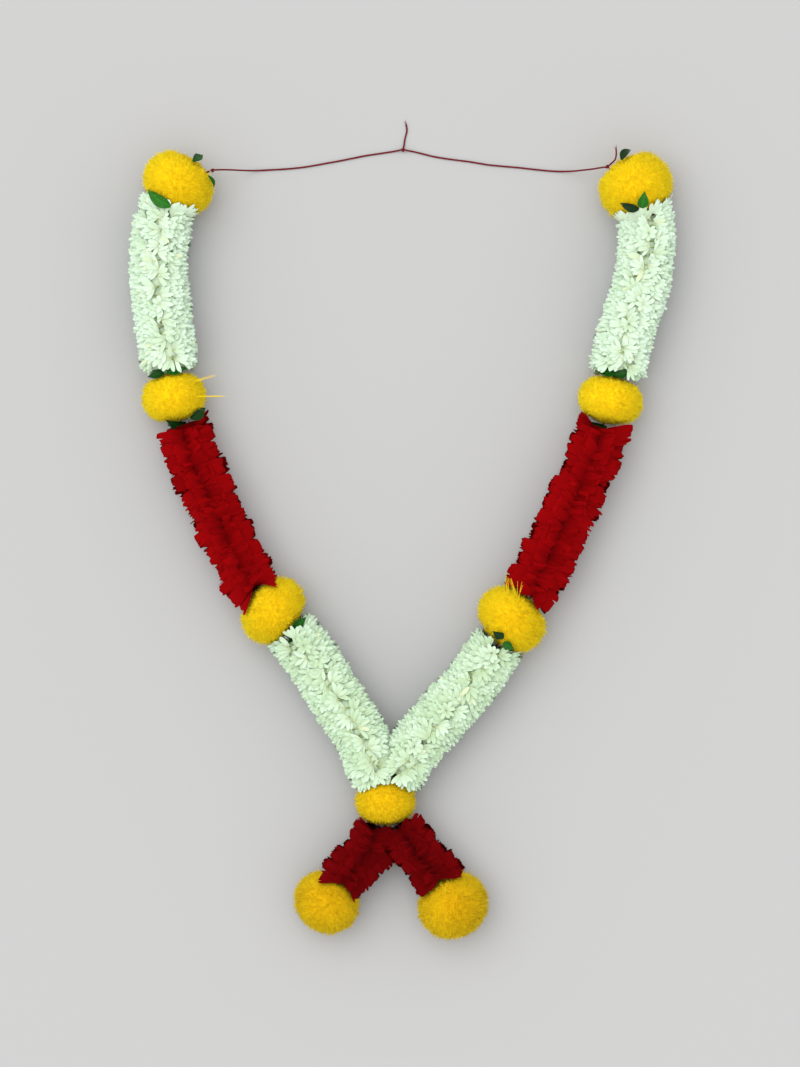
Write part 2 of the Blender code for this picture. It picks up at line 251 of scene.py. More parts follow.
def square_to(direction, rng=None):
    """Two directions square to each given one, turned at random where rng is given."""
    other = np.where(np.abs(direction[..., 2:3]) < 0.9, UP, np.array([1.0, 0.0, 0.0]))
    one = unit(np.cross(direction, other))
    two = np.cross(direction, one)
    if rng is None:
        return one, two
    turn = rng.uniform(0, 2 * math.pi, direction.shape[:-1])[..., None]
    return one * np.cos(turn) + two * np.sin(turn), two * np.cos(turn) - one * np.sin(turn)


def on_surface(points, low=0.3, soft=0.9):
    """The points, with what would sink into the floor pressed flat on it."""
    points[..., 2] = low + soft * np.logaddexp(0, (points[..., 2] - low) / soft)
    return points


def faced(points, outward, share):
    """Sheets turned to face outward, and normals that lean share of the way to it.

    Thin petals pass light on to each other, so a bunch of them is lit almost as one.
    """
    drift = np.cross(np.gradient(points, axis=2), np.gradient(points, axis=1))
    turned = (drift * outward).sum((1, 2, 3)) < 0
    points = np.where(turned[:, None, None, None], points[:, :, ::-1], points)
    drift = np.cross(np.gradient(points, axis=2), np.gradient(points, axis=1))
    return points, unit((1 - share) * unit(drift) + share * outward)


def tube_grid(path, radius, sides):
    """A tube round a line of points, as one closed grid."""
    ahead = unit(np.gradient(path, axis=0))
    one = np.empty_like(path)
    one[0] = square_to(ahead[0])[0]
    for i in range(1, len(path)):
        one[i] = unit(one[i - 1] - ahead[i] * ahead[i].dot(one[i - 1]))
    two = np.cross(ahead, one)
    angle = 2 * math.pi * np.arange(sides) / sides
    radius = np.broadcast_to(radius, len(path))[:, None, None]
    ring = one[:, None] * np.cos(angle)[:, None] + two[:, None] * np.sin(angle)[:, None]
    return (path[:, None] + radius * ring)[None]


# ---------------------------------------------------------------- meshes


class Grids:
    """Grids of points that become one mesh, with what its material reads at each point."""

    def __init__(self, kinds=1):
        self.kinds = kinds
        self.points, self.values, self.faces, self.kind, self.maps = [], [], [], [], []
        self.normals = []
        self.total = 0

    def add(self, points, tint, kind=0, closed=False, along=None, normals=None):
        """Add grids, as (number, rows, columns, 3).

        tint is one value for each grid, and along is one for each of its rows or points,
        or else runs from 0 to 1. kind is which of the piece's materials they have.
        """
        if normals is not None:
            self.normals.append(normals.reshape(-1, 3))
        n, rows, columns, _ = points.shape
        tint = np.broadcast_to(np.asarray(tint, float), n).clip(0, 1)
        run = np.linspace(0, 1, rows) if along is None else np.asarray(along, float)
        values = np.empty((n, rows, columns, 2))
        values[..., 0] = tint[:, None, None]
        values[..., 1] = run[:, None] if run.ndim == 1 else run
        spans = columns if closed else columns - 1
        i, j = np.meshgrid(np.arange(rows - 1), np.arange(spans), indexing="ij")
        corners = np.stack([i, i, i + 1, i + 1], -1), np.stack([j, j + 1, j + 1, j], -1)
        index = (corners[0] * columns + corners[1] % columns).reshape(-1, 4)
        start = self.total + np.arange(n)[:, None, None] * rows * columns
        self.faces.append((index[None] + start).reshape(-1, 4))
        self.kind.append(np.full(n * len(index), kind))
        # On the map a grid is a narrow upright strip, placed by its tint.
        u = (corners[1] / spans).reshape(-1, 4)
        v = values[:, :, 0, 1][:, corners[0].reshape(-1, 4)]
        u = 0.01 + tint[:, None, None] * 0.94 + u[None] * 0.04
        self.maps.append(np.stack([(kind + u) / self.kinds, 0.01 + 0.98 * v], -1).reshape(-1, 2))
        self.points.append(points.reshape(-1, 3))
        self.values.append(values.reshape(-1, 2))
        self.total += n * rows * columns

    def piece(self, name, slot, materials):
        """Make the mesh that replaces the CAD node of this name."""
        points = np.concatenate(self.points) * MM
        faces = np.concatenate(self.faces).astype(np.int32)
        values = np.concatenate(self.values).astype(np.float32)
        mesh = bpy.data.meshes.new(name)
        mesh.vertices.add(len(points))
        mesh.vertices.foreach_set("co", points.astype(np.float32).ravel())
        mesh.loops.add(faces.size)
        mesh.loops.foreach_set("vertex_index", faces.ravel())
        mesh.polygons.add(len(faces))
        mesh.polygons.foreach_set("loop_start", np.arange(len(faces), dtype=np.int32) * 4)
        for material in materials:
            mesh.materials.append(material)
        mesh.polygons.foreach_set("material_index", np.concatenate(self.kind).astype(np.int32))
        mesh.update(calc_edges=True)
        for attribute, column in zip(("tint", "along"), values.T):
            layer = mesh.attributes.new(attribute, "FLOAT", "POINT")
            layer.data.foreach_set("value", np.ascontiguousarray(column))
        layer = mesh.uv_layers.new(name="OFBake")
        layer.uv.foreach_set("vector", np.concatenate(self.maps).astype(np.float32).ravel())
        mesh.shade_smooth()
        if self.normals:
            mesh.normals_split_custom_set_from_vertices(np.concatenate(self.normals))
        obj = bpy.data.objects.new(name + "_detail", mesh)
        bpy.context.scene.collection.objects.link(obj)
        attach(obj, "root")
        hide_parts(name)
        return obj


# ---------------------------------------------------------------- materials

PLAIN = (1.0, 1.0, 1.0)  # leaves the colour that it multiplies as it is


class Recipe:
    """A material with one Principled shader, and short ways to add nodes to it."""

    def __init__(self, name, **sockets):
        self.material = bpy.data.materials.new(name)
        self.material.use_nodes = True
        self.tree = self.material.node_tree
        self.shader = self.tree.nodes["Principled BSDF"]
        for socket, value in sockets.items():
            self.shader.inputs[socket.replace("_", " ")].default_value = value

    def node(self, kind, inputs=(), **settings):
        node = self.tree.nodes.new(kind)
        for key, value in settings.items():
            setattr(node, key, value)
        for key, value in dict(inputs).items():
            if isinstance(value, bpy.types.NodeSocket):
                self.tree.links.new(value, node.inputs[key])
            else:
                node.inputs[key].default_value = value
        return node

    def read(self, attribute):
        return self.node("ShaderNodeAttribute", attribute_name=attribute).outputs["Fac"]

    def ramp(self, value, *stops):
        node = self.node("ShaderNodeValToRGB", {"Fac": value})
        elements = node.color_ramp.elements
        while len(elements) < len(stops):
            elements.new(0.5)
        for element, (place, colour) in zip(elements, stops):
            element.position = place
            element.color = (*colour, 1.0)
        return node.outputs["Color"]

    def noise(self, scale, detail=3.0):
        where = self.node("ShaderNodeTexCoord").outputs["Object"]
        node = self.node("ShaderNodeTexNoise", {"Vector": where, "Scale": scale, "Detail": detail})
        return node.outputs["Fac"]

    def multiply(self, one, two):
        node = self.node("ShaderNodeMix", {0: 1.0}, data_type="RGBA", blend_type="MULTIPLY")
        # A mix of colours reads them from its inputs 6 and 7, and gives one at output 2.
        self.tree.links.new(one, node.inputs[6])
        self.tree.links.new(two, node.inputs[7])
        return node.outputs[2]

    def spread(self, value, low, high):
        """The value, from 0 to 1, as one from low to high."""
        return self.node(
            "ShaderNodeMapRange", {"Value": value, "To Min": low, "To Max": high}
        ).outputs["Result"]

    def bump(self, height, strength, distance):
        normal = self.node(
            "ShaderNodeBump", {"Height": height, "Strength": strength, "Distance": distance}
        )
        self.tree.links.new(normal.outputs["Normal"], self.shader.inputs["Normal"])

    def set(self, socket, value):
        self.tree.links.new(value, self.shader.inputs[socket])


def yellow_fibre():
    m = Recipe("yellow_fibre", Sheen_Weight=0.25, Sheen_Roughness=0.5, Specular_IOR_Level=0.15)
    m.shader.inputs["Sheen Tint"].default_value = (1.0, 0.8, 0.1, 1.0)
    along = m.ramp(
        m.read("along"),
        (0.0, (0.94, 0.56, 0.001)),
        (0.6, (1.0, 0.70, 0.002)),
        (1.0, (1.0, 0.82, 0.012)),
    )
    tint = m.ramp(
        m.read("tint"),
        (0.0, (0.46, 0.36, 0.3)),
        (0.5, (0.80, 0.72, 0.6)),
        (1.0, PLAIN),
    )
    m.set("Base Color", m.multiply(along, tint))
    m.set("Roughness", m.spread(m.read("tint"), 0.92, 0.78))
    return m.material


def white_petal():
    m = Recipe("white_petal", Sheen_Weight=0.1, Specular_IOR_Level=0.3)
    along = m.ramp(
        m.read("along"),
        (0.0, (0.44, 0.54, 0.35)),
        (0.2, (0.57, 0.69, 0.51)),
        (0.5, (0.60, 0.74, 0.55)),
        (1.0, (0.61, 0.77, 0.62)),
    )
    tint = m.ramp(
        m.read("tint"),
        (0.0, (0.78, 0.84, 0.70)),
        (0.6, PLAIN),
        (0.93, PLAIN),
        (1.0, (1.0, 0.93, 0.78)),
    )
    m.set("Base Color", m.multiply(along, tint))
    m.set("Roughness", m.spread(m.read("tint"), 0.55, 0.75))
    return m.material


def green_calyx():
    m = Recipe("green_calyx", Specular_IOR_Level=0.3)
    along = m.ramp(
        m.read("along"),
        (0.0, (0.20, 0.27, 0.09)),
        (0.6, (0.50, 0.60, 0.30)),
        (1.0, (0.62, 0.72, 0.44)),
    )
    tint = m.ramp(m.read("tint"), (0.0, (0.7, 0.75, 0.6)), (1.0, PLAIN))
    m.set("Base Color", m.multiply(along, tint))
    m.set("Roughness", m.spread(m.read("tint"), 0.55, 0.7))
    return m.material


def red_velvet(name, middle_shade, body, edge_sheen, sheen):
    m = Recipe(name, Sheen_Weight=sheen, Sheen_Roughness=0.35, Specular_IOR_Level=0.02)
    m.shader.inputs["Sheen Tint"].default_value = (1.0, 0.0, 0.0, 1.0)
    # The ramp paints shade and sheen: dark at the petals' roots along the strand's middle line
    # (painted shade), and brighter just inside their outer edge (painted sheen).
    along = m.ramp(m.read("along"), (0.0, middle_shade), (0.5, body), (0.94, edge_sheen), (1.0, body))
    tint = m.ramp(m.read("tint"), (0.0, (0.62, 0.55, 0.55)), (0.5, (0.86, 0.8, 0.8)), (1.0, PLAIN))
    m.set("Base Color", m.multiply(along, tint))
    m.set("Roughness", m.spread(m.read("tint"), 0.95, 0.8))
    m.bump(m.noise(2600.0, 2.0), 0.25, 0.0002)
    return m.material


def leaf_green():
    m = Recipe("leaf_green", Specular_IOR_Level=0.12)
    tint = m.ramp(
        m.read("tint"),
        (0.0, (0.003, 0.014, 0.004)),
        (0.5, (0.006, 0.045, 0.005)),
        (1.0, (0.014, 0.12, 0.008)),
    )
    rib = m.ramp(m.read("along"), (0.0, PLAIN), (1.0, (1.9, 1.6, 1.3)))
    m.set("Base Color", m.multiply(tint, rib))
    m.set("Roughness", m.spread(m.noise(300.0), 0.28, 0.45))
    m.bump(m.noise(900.0, 2.0), 0.2, 0.0002)
    return m.material


def red_thread():
    m = Recipe("red_thread", Sheen_Weight=0.1, Sheen_Roughness=0.4, Specular_IOR_Level=0.25)
    m.shader.inputs["Sheen Tint"].default_value = (1.0, 0.2, 0.25, 1.0)
    fibres = m.noise(1400.0, 2.0)
    m.set("Base Color", m.ramp(fibres, (0.3, (0.08, 0.0005, 0.004)), (0.7, (0.20, 0.002, 0.011))))
    m.set("Roughness", m.spread(m.noise(900.0), 0.6, 0.85))
    m.bump(m.noise(5000.0, 1.0), 0.4, 0.0001)
    return m.material


YELLOW = yellow_fibre()
WHITE = white_petal()
CALYX = green_calyx()
RED = red_velvet(
    "red_velvet",
    middle_shade=(0.07, 0.0, 0.0006),
    body=(0.20, 0.0006, 0.0015),
    edge_sheen=(0.27, 0.001, 0.002),
    sheen=0.2,
)
DARK_RED = red_velvet(
    "dark_red_velvet",
    middle_shade=(0.035, 0.0, 0.0006),
    body=(0.10, 0.0006, 0.0014),
    edge_sheen=(0.15, 0.0009, 0.002),
    sheen=0.15,
)
LEAF = leaf_green()
THREAD = red_thread()


# ---------------------------------------------------------------- camera, light and floor

VIEW_CENTRE = (-2.4, 8.4)
VIEW_LONG_SIDE = 853.6  # what the picture's long side takes in, at the garland's mid height
VIEW_PLANE = 26.0  # that height
LENS, SENSOR = 135.0, 36.0
SKY_STRENGTH = 1.06
SUN_STRENGTH = 1.4
SUN_WIDTH = math.radians(60)
SUN_TURN = (math.radians(-14), math.radians(-16), 0.0)
FLOOR_HALF = 8.0  # m
FLOOR_COLOUR = (0.448, 0.448, 0.446, 1.0)


def add_camera():
    data = bpy.data.cameras.new("camera")
    data.lens, data.sensor_width = LENS, SENSOR
    camera = bpy.data.objects.new("camera", data)
    height = VIEW_PLANE + VIEW_LONG_SIDE * LENS / SENSOR
    camera.location = (VIEW_CENTRE[0] * MM, VIEW_CENTRE[1] * MM, height * MM)
    data.clip_start, data.clip_end = 0.05, 100.0
    bpy.context.scene.collection.objects.link(camera)
    bpy.context.scene.camera = camera


def add_studio():
    scene = bpy.context.scene
    scene.view_settings.view_transform = "Standard"
    world = bpy.data.worlds.new("soft_light")
    world.use_nodes = True
    background = world.node_tree.nodes["Background"]
    background.inputs["Color"].default_value = (1.0, 1.0, 1.0, 1.0)
    background.inputs["Strength"].default_value = SKY_STRENGTH
    scene.world = world
    sun = bpy.data.lights.new("key", "SUN")
    sun.energy, sun.angle = SUN_STRENGTH, SUN_WIDTH
    light = bpy.data.objects.new("key", sun)
    light.rotation_euler = SUN_TURN
    scene.collection.objects.link(light)

    mesh = bpy.data.meshes.new("floor")
    corners = ((-1, -1), (1, -1), (1, 1), (-1, 1))
    mesh.from_pydata([(x * FLOOR_HALF, y * FLOOR_HALF, 0.0) for x, y in corners], [], [(0, 1, 2, 3)])
    paint = Recipe("floor", Roughness=1.0, Specular_IOR_Level=0.0)
    paint.shader.inputs["Base Color"].default_value = FLOOR_COLOUR
    mesh.materials.append(paint.material)
    floor = bpy.data.objects.new("floor", mesh)
    scene.collection.objects.link(floor)


add_camera()
add_studio()


# ---------------------------------------------------------------- threads and knots

PLIES = 3
PLY_RADIUS = 0.44
PLY_OFFSET = 0.33  # of a ply's middle from the thread's
TAIL_PLY_RADIUS, TAIL_PLY_OFFSET = 0.42, 0.32
TWIST_PITCH = 5.0
THREAD_TINT = 0.5
PATH_STEP = 0.7  # between the points of a thread's line
KNOT_SIZE = 1.3
KNOT_STRAND = 0.5  # the radius of the thread in a knot
FRAY_FIBRES, FRAY_LENGTH = 7, 3.2


def add_thread(grids, path, radius=PLY_RADIUS, offset=PLY_OFFSET):
    """A thread of twisted plies along a line of points."""
    reach = reach_along(path)
    grid = tube_grid(path, 1.0, 4)[0] - path[:, None]
    one, two = grid[:, 0], grid[:, 1]
    for k in range(PLIES):
        turn = (2 * math.pi * (reach / TWIST_PITCH + k / PLIES))[:, None]
        line = path + offset * (one * np.cos(turn) + two * np.sin(turn))
        grids.add(tube_grid(line, radius, 6), THREAD_TINT, closed=True)


def add_fray(grids, end, heading, rng):
    """The loose fibres of a cut end."""
    t = np.linspace(0, 1, 6)[:, None]
    for _ in range(FRAY_FIBRES):
        lean = unit(heading + rng.normal(0, 0.35, 3))
        curl = rng.normal(0, 0.5, 3)
        reach = FRAY_LENGTH * rng.uniform(0.6, 1.1)
        line = end + lean * t * reach + curl * t**2
        line[:, 2] = np.maximum(line[:, 2], 0.2)
        grids.add(tube_grid(line, np.linspace(0.14, 0.05, 6), 4), THREAD_TINT, closed=True)


def knot_line(centre, size, turn):
    """An overhand knot pulled tight, as one closed line."""
    t = np.linspace(0, 2 * math.pi, 97)
    x = np.sin(t) + 2 * np.sin(2 * t)
    y = np.cos(t) - 2 * np.cos(2 * t)
    z = -np.sin(3 * t)
    c, s = math.cos(turn), math.sin(turn)
    line = np.stack([x * c - y * s, x * s + y * c, z * 1.2], -1) / 3
    return np.asarray(centre) + line * size


def add_knot(name, centre, turn, tail=None):
    """A knot, and the end of thread that leaves it."""
    grids = Grids()
    for size, more in ((KNOT_SIZE, 0.0), (KNOT_SIZE * 0.5, 1.0)):
        line = knot_line(centre, size, turn + more)
        grids.add(tube_grid(line, KNOT_STRAND, 8), THREAD_TINT, closed=True)
    if tail is not None:
        route = Route(tail)
        path = route.at(np.arange(1.0, route.length, PATH_STEP))
        add_thread(grids, path, TAIL_PLY_RADIUS, TAIL_PLY_OFFSET)
        add_fray(grids, path[-1], unit(path[-1] - path[-3]), dice(name))
    return grids.piece(name, "thread_red", [THREAD])


def add_threads():
    knots = {
        "end_knot_left": add_knot("end_knot_left", SIDES["left"]["end_knot"], 0.4),
        "end_knot_right": add_knot("end_knot_right", SIDES["right"]["end_knot"], 1.2, END_TAIL),
        "tie_knot": add_knot("tie_knot", TIE_KNOT, 0.2, TIE_TAIL),
    }
    for side, knots_on in TIE_THREADS.items():
        route = Route(knots_on)
        path = route.at(np.linspace(0, route.length, int(route.length / PATH_STEP)))
        grids = Grids()
        into = KNOT_SIZE * unit(path[[0, -1]] - path[[1, -2]])
        add_thread(grids, np.vstack([path[0] + into[0], path, path[-1] + into[1]]))
        piece = grids.piece("tie_thread_" + side, "thread_red", [THREAD])
    for side, layout in SIDES.items():
        tassel = layout["heads"][-1]
        outward = head_axes(tassel)[0] * head_radii(tassel)[0]
        add_knot("tassel_knot_" + side, head_centre(tassel) + outward * 0.88, 0.8)
        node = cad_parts["stringing_thread_" + side]
        node.data.materials.clear()
        node.data.materials.append(THREAD)


add_threads()


# ---------------------------------------------------------------- heads

TUFTS_PER_AREA = 0.80  # per square mm of skin
TUFT_ROOT = 0.84  # of the way from the centre to the skin
PILE_GROUND = 0.925  # the same, for the dense pile between the tufts' tips
HEAD_TINTS = {"lower": 0.86, "centre": 0.66, "tassel": 0.46}
TOP_TINT = 0.96  # of the other heads
TUFTS_IN_CLUMP = 16
FRINGE = 0.35  # finer, longer fibres, as a share of the tufts
TUFT_WIDTHS = np.array([1.6, 0.22])  # at root and tip
FRINGE_WIDTHS = np.array([1.0, 0.22])
STRAY_WIDTHS = np.array([0.55, 0.2])
PILE_SPLAY = 0.45
STRAYS = {  # x and y of where sprays of loose fibres start and end
    "upper_left": ((-168, 129, -150, 135), (-164, 117.6, -143, 117.6)),
    "lower_right": ((84, -40, 82, -25), (90, -42, 85, -27), (91, -43, 94, -31)),
}


def tuft_grid(root, tip, widths, rng):
    """Tapering tufts of fibre from root to tip, with three sides each."""
    spine = np.stack([root, tip], 1)
    one, two = square_to(unit(tip - root), rng)
    angle = 2 * math.pi * np.arange(3) / 3
    ring = (
        one[:, None, None] * np.cos(angle)[None, None, :, None]
        + two[:, None, None] * np.sin(angle)[None, None, :, None]
    )
    return spine[:, :, None] + ring * widths[:, :, None, None] / 2


def head_tint(name):
    return HEAD_TINTS.get(name.split("_")[0], TOP_TINT)


def pressed(name, share):
    """How far the pile is pressed down, at a share of the way along the head's axis.

    Strands and collars of leaves bear on both ends of a head, and on one of a tassel's. add_tufts
    also darkens the tufts there by it, as painted shade where they meet the head.
    """
    return smoothstep(0.66, 0.92, -share if name.startswith("tassel") else np.abs(share))


def add_tufts(grids, name, rng):
    """The cut fibres of a head, in clumps, with a fringe of finer and longer ones."""
    centre, axes, radii = head_centre(name), head_axes(name), head_radii(name)
    area = radii[0] * radii[1] * 2 + radii[1] ** 2
    count = int((1 + FRINGE) * TUFTS_PER_AREA * 4 * math.pi * area / 3)
    out = unit(spread(count) + rng.normal(0, 0.02, (count, 3)))
    clump_count = count // TUFTS_IN_CLUMP
    clumps = unit(spread(clump_count) + rng.normal(0, 0.05, (clump_count, 3)))
    nearest = (out @ clumps.T).argmax(1)
    lean = clumps[nearest] - out
    clump_tint = rng.uniform(-0.12, 0.12, clump_count)[nearest]
    clump_reach = rng.normal(0, 0.010, clump_count)[nearest]
    pressing_and_shade = pressed(name, out[:, 0])
    reach = 1.0 + clump_reach + rng.normal(0, 0.016, count) - 0.12 * pressing_and_shade
    fringe = rng.random(count) < FRINGE / (1 + FRINGE)
    reach[fringe] += rng.uniform(0.02, 0.10, fringe.sum())
    lean[fringe] *= 0.4
    stray = np.where(fringe, 0.055, 0.030)[:, None]
    tip = unit(out + 0.26 * lean + rng.normal(0, 1, (count, 3)) * stray) * reach[:, None]
    root, tip = ((part * radii) @ axes + centre for part in (out * TUFT_ROOT, tip))
    widths = np.where(fringe[:, None], FRINGE_WIDTHS, TUFT_WIDTHS)
    tufts = tuft_grid(root, tip, widths * rng.uniform(0.8, 1.2, (count, 1)), rng)
    # The pile catches light as a whole, so each tuft leans towards the skin's own normal.
    skin = unit(out / radii) @ axes
    sides = unit(tufts - tufts.mean(2, keepdims=True))
    normals = unit(skin[:, None, None] + PILE_SPLAY * sides)
    broad = np.sin(out @ np.array([3.1, 2.3, 1.7]) + 6.0 * rng.random())
    tint = head_tint(name) + 0.05 * broad + clump_tint + rng.normal(0, 0.08, count)
    # Tufts near the head's ends, where strands and collars meet it, get darker tints: painted shade.
    grids.add(on_surface(tufts), tint - 0.25 * pressing_and_shade, closed=True, normals=normals)


def add_strays(grids, name, rng):
    """The sprays of loose fibres on a head."""
    for from_x, from_y, to_x, to_y in STRAYS.get(name, ()):
        from_z = over_head(from_x, from_y, name) - 2
        root = np.array([from_x, from_y, from_z]) + rng.normal(0, 0.5, (4, 3))
        tip = np.array([to_x, to_y, from_z + 2.5]) + rng.normal(0, 1.3, (4, 3))
        fibres = tuft_grid(root, tip, STRAY_WIDTHS * rng.uniform(0.8, 1.2, (4, 1)), rng)
        tint, along = head_tint(name) - 0.4, np.array([0.8, 1.0])
        above = np.tile(UP, (4, 2, 3, 1))
        grids.add(fibres, tint, closed=True, along=along, normals=above)


def add_ground(grids, name, rng):
    """The dense pile that shows between a head's tufts."""
    centre, axes, radii = head_centre(name), head_axes(name), head_radii(name)
    rows, columns = 24, 44
    polar = np.linspace(0.02, math.pi - 0.02, rows)[:, None]
    turn = -2 * math.pi * np.arange(columns) / columns
    ball = np.stack(
        [np.cos(polar) + 0 * turn, np.sin(polar) * np.cos(turn), np.sin(polar) * np.sin(turn)], -1
    )
    outward = unit(ball / radii) @ axes
    ball = ball * (PILE_GROUND - 0.10 * pressed(name, ball[..., :1]))
    ball = ball * (1 + rng.normal(0, 0.006, (rows, columns, 1)))
    ball = on_surface((ball * radii) @ axes + centre)
    # The ground is a little darker than the tufts over it: painted shade in the pile's depth.
    tint, along = head_tint(name) - 0.05, np.full(rows, 0.5)
    grids.add(ball[None], tint, closed=True, along=along, normals=outward)


def add_head(name):
    rng = dice(name)
    grids = Grids()
    add_tufts(grids, name, rng)
    add_strays(grids, name, rng)
    add_ground(grids, name, rng)
    grids.piece("marigold_" + name, "marigold_yellow", [YELLOW])


# ---------------------------------------------------------------- strands

CORE_ROWS, CORE_SIDES = 9, 24
CORE_OVERLAP = 2.5  # how far the core of a bunch reaches into the next one
CORE_TINT = 0.3


class Strand:
    """A stretch of a side's thread between two heads, with the bunches tied along it."""

    def __init__(self, name, side, route, across, count, start, end, heads):
        self.name, self.side, self.route, self.heads = name, side, route, heads
        self.radius, self.count = across / 2, count
        self.start, self.end = start, end
        self.lower = "_lower_" in name
        self.rng = dice(name)

    def frame(self, s):
        """The thread's place at s, the way it heads, and its side and upper side."""
        ahead = self.route.heading(s)
        side = unit(np.cross(ahead, UP))
        return self.route.at(s), ahead, side, np.cross(side, ahead)

    def bunch_of(self, s):
        share = (s - self.start) / (self.end - self.start)
        return np.clip((share * self.count).astype(int), 0, self.count - 1)

    def add_core(self, grids, k, share, along):
        """The dense mass round the thread that shows between a bunch's petals."""
        length = self.end - self.start
        near = self.start + length * k / self.count - CORE_OVERLAP
        far = self.start + length * (k + 1) / self.count + CORE_OVERLAP
        bulge = np.sin(np.linspace(0.06, math.pi - 0.06, CORE_ROWS)) ** 0.12
        middle = self.route.at(np.linspace(near, far, CORE_ROWS))
        grid = tube_grid(middle, self.radius * share * bulge, CORE_SIDES)
        ray = grid - middle[None, :, None]
        rough = self.rng.normal(0, 0.02, grid.shape[:3] + (1,))
        grid = on_surface(grid + ray * rough)
        along = np.full(CORE_ROWS, along)
        grids.add(grid, CORE_TINT, closed=True, along=along, normals=unit(ray))


def from_thread(points, place, ahead):
    """The way from the thread to each point, square to the thread."""
    away = points - place[:, None, None]
    ahead = ahead[:, None, None]
    return away - (away * ahead).sum(-1, keepdims=True) * ahead


# ---------------------------------------------------------------- white blossoms

BLOSSOM_PITCH = 6.4  # between blossoms, along the strand and round it
PETAL_LENGTH = 10.5
PETAL_WIDTH = 3.4
PETAL_OUTLINE = np.array([0.42, 0.68, 0.90, 1.0, 0.90, 0.42])  # its width from root to tip
FAN = 6  # petals that show in a blossom
FAN_SPREAD = 0.95  # half of the angle they open to
FULL_FLOWER = 8  # petals of a blossom that faces straight out
FULL_FLOWERS = 0.07  # the share of such blossoms
UPPER_OVERLAP = (10.0, -2.0)  # of blossoms past the ends of an upper strand
LOWER_OVERLAP = (3.5, 4.0)
END_LEAN = 1.3
WHITE_GROUND = 0.78  # how far out the mass of petals is dense, in parts of the radius
SIDE_ROOT = 13.8  # how far under the strand's outline its side petals start
PETAL_GLOW = 0.5  # how far petals are lit as one
PETAL_CLEARANCE = 1.6  # from the heads
CREAM_PETALS = 0.015  # the share of petals that have turned cream
LOWER_SHADE = 0.35  # how much darker the lower strands are
BRISTLES = 1300  # fine petals in a bunch, mostly at its two sides
BRISTLE_ROOT = 0.60  # how far out they start, in parts of the radius
BRISTLE_GLOW = 0.75
CALYX_SIDES = 5


def blossom_ends(strand):
    before, after = LOWER_OVERLAP if strand.lower else UPPER_OVERLAP
    return strand.start - before, strand.end + after


def leaning(strand, s):
    """How far petals lean along the thread, over the heads at a strand's ends."""
    return END_LEAN * (
        smoothstep(12, -4, strand.end - s) - smoothstep(12, -4, s - strand.start)
    )


def in_place(strand, points):
    """Those on this side of the middle, where the two lower strands meet."""
    if not strand.lower:
        return np.ones(len(points), bool)
    return (-1 if strand.side == "left" else 1) * (points[:, 0] - MIDDLE_X) > 1.0


def settled(strand, points, place, ahead, glow):
    """Petals pushed off the heads and the floor, and their normals."""
    away = from_thread(points, place, ahead)
    for head in strand.heads:
        points = outside(points, head, PETAL_CLEARANCE)
    return faced(on_surface(points), unit(unit(away) + 0.6 * UP), glow)


def petal_grid(root, way, face, length, width, lift, rng):
    """Narrow petals with round tips, that start along way and bend towards face."""
    n = len(root)
    u = np.linspace(0, 1, len(PETAL_OUTLINE))
    side = np.cross(face, way)
    bend = (rng.uniform(0.0, 0.14, n) + lift)[:, None] * u**2
    spine = (
        root[:, None]
        + way[:, None] * (length[:, None] * u)[..., None]
        + face[:, None] * (length[:, None] * bend)[..., None]
        + side[:, None] * (length[:, None] * rng.normal(0, 0.06, (n, 1)) * u**2)[..., None]
    )
    v = np.array([-1.0, 0.0, 1.0])
    half = PETAL_OUTLINE[None, :] * width[:, None] / 2
    cup = rng.uniform(0.1, 0.4, (n, 1, 1)) * half[..., None] * v**2
    return (
        spine[:, :, None]
        + side[:, None, None] * (half[..., None] * v)[..., None]
        + face[:, None, None] * cup[..., None]
    )


def bristle_grid(root, tip, width, rng):
    """Fine strips from root to tip."""
    side, face = square_to(unit(tip - root), rng)
    middle = (root + tip) / 2 + face * rng.normal(0, 0.5, (len(root), 1))
    spine = np.stack([root, middle, tip], 1)
    half = (np.array([0.7, 1.0, 0.45]) * width[:, None] / 2)[..., None]
    return spine[:, :, None] + side[:, None, None] * (half * np.array([-1.0, 1.0]))[..., None]


